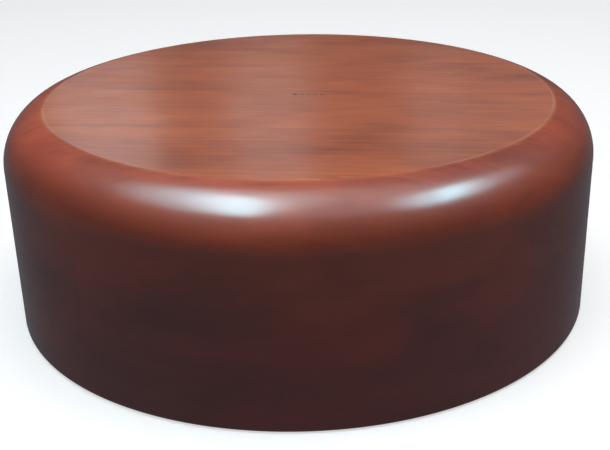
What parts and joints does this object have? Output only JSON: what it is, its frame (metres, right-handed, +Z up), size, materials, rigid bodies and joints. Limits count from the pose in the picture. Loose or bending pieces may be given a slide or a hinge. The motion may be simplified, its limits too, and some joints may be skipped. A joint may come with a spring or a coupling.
{
  "type": "wooden offering plate",
  "caption": "Deep round wooden offering plate, turned from glued boards, lying rim down with a flat base, a rounded shoulder and a felt pad inside.",
  "frame": {"origin": "centre of the rim's face, on the surface that the plate lies on, rim down", "axes": "+Z up, out of the base, along the turning axis; +X along the grain and the board joints; +Y across the boards"},
  "size_m": [0.305, 0.305, 0.11],
  "materials": {
    "stained_wood": "red-brown stain under a glossy clear lacquer",
    "felt": "pressed wool felt, dark red",
    "greyboard": "uncoated grey board",
    "foam_tape": "double-sided foam sheet"
  },
  "bodies": {
    "root": {"bowl_board_1": "stained_wood", "bowl_board_2": "stained_wood", "bowl_board_3": "stained_wood", "bowl_board_4": "stained_wood", "bowl_board_5": "stained_wood", "bowl_board_6": "stained_wood", "felt_cover": "felt", "pad_card": "greyboard", "pad_adhesive": "foam_tape"}
  },
  "joints": []
}
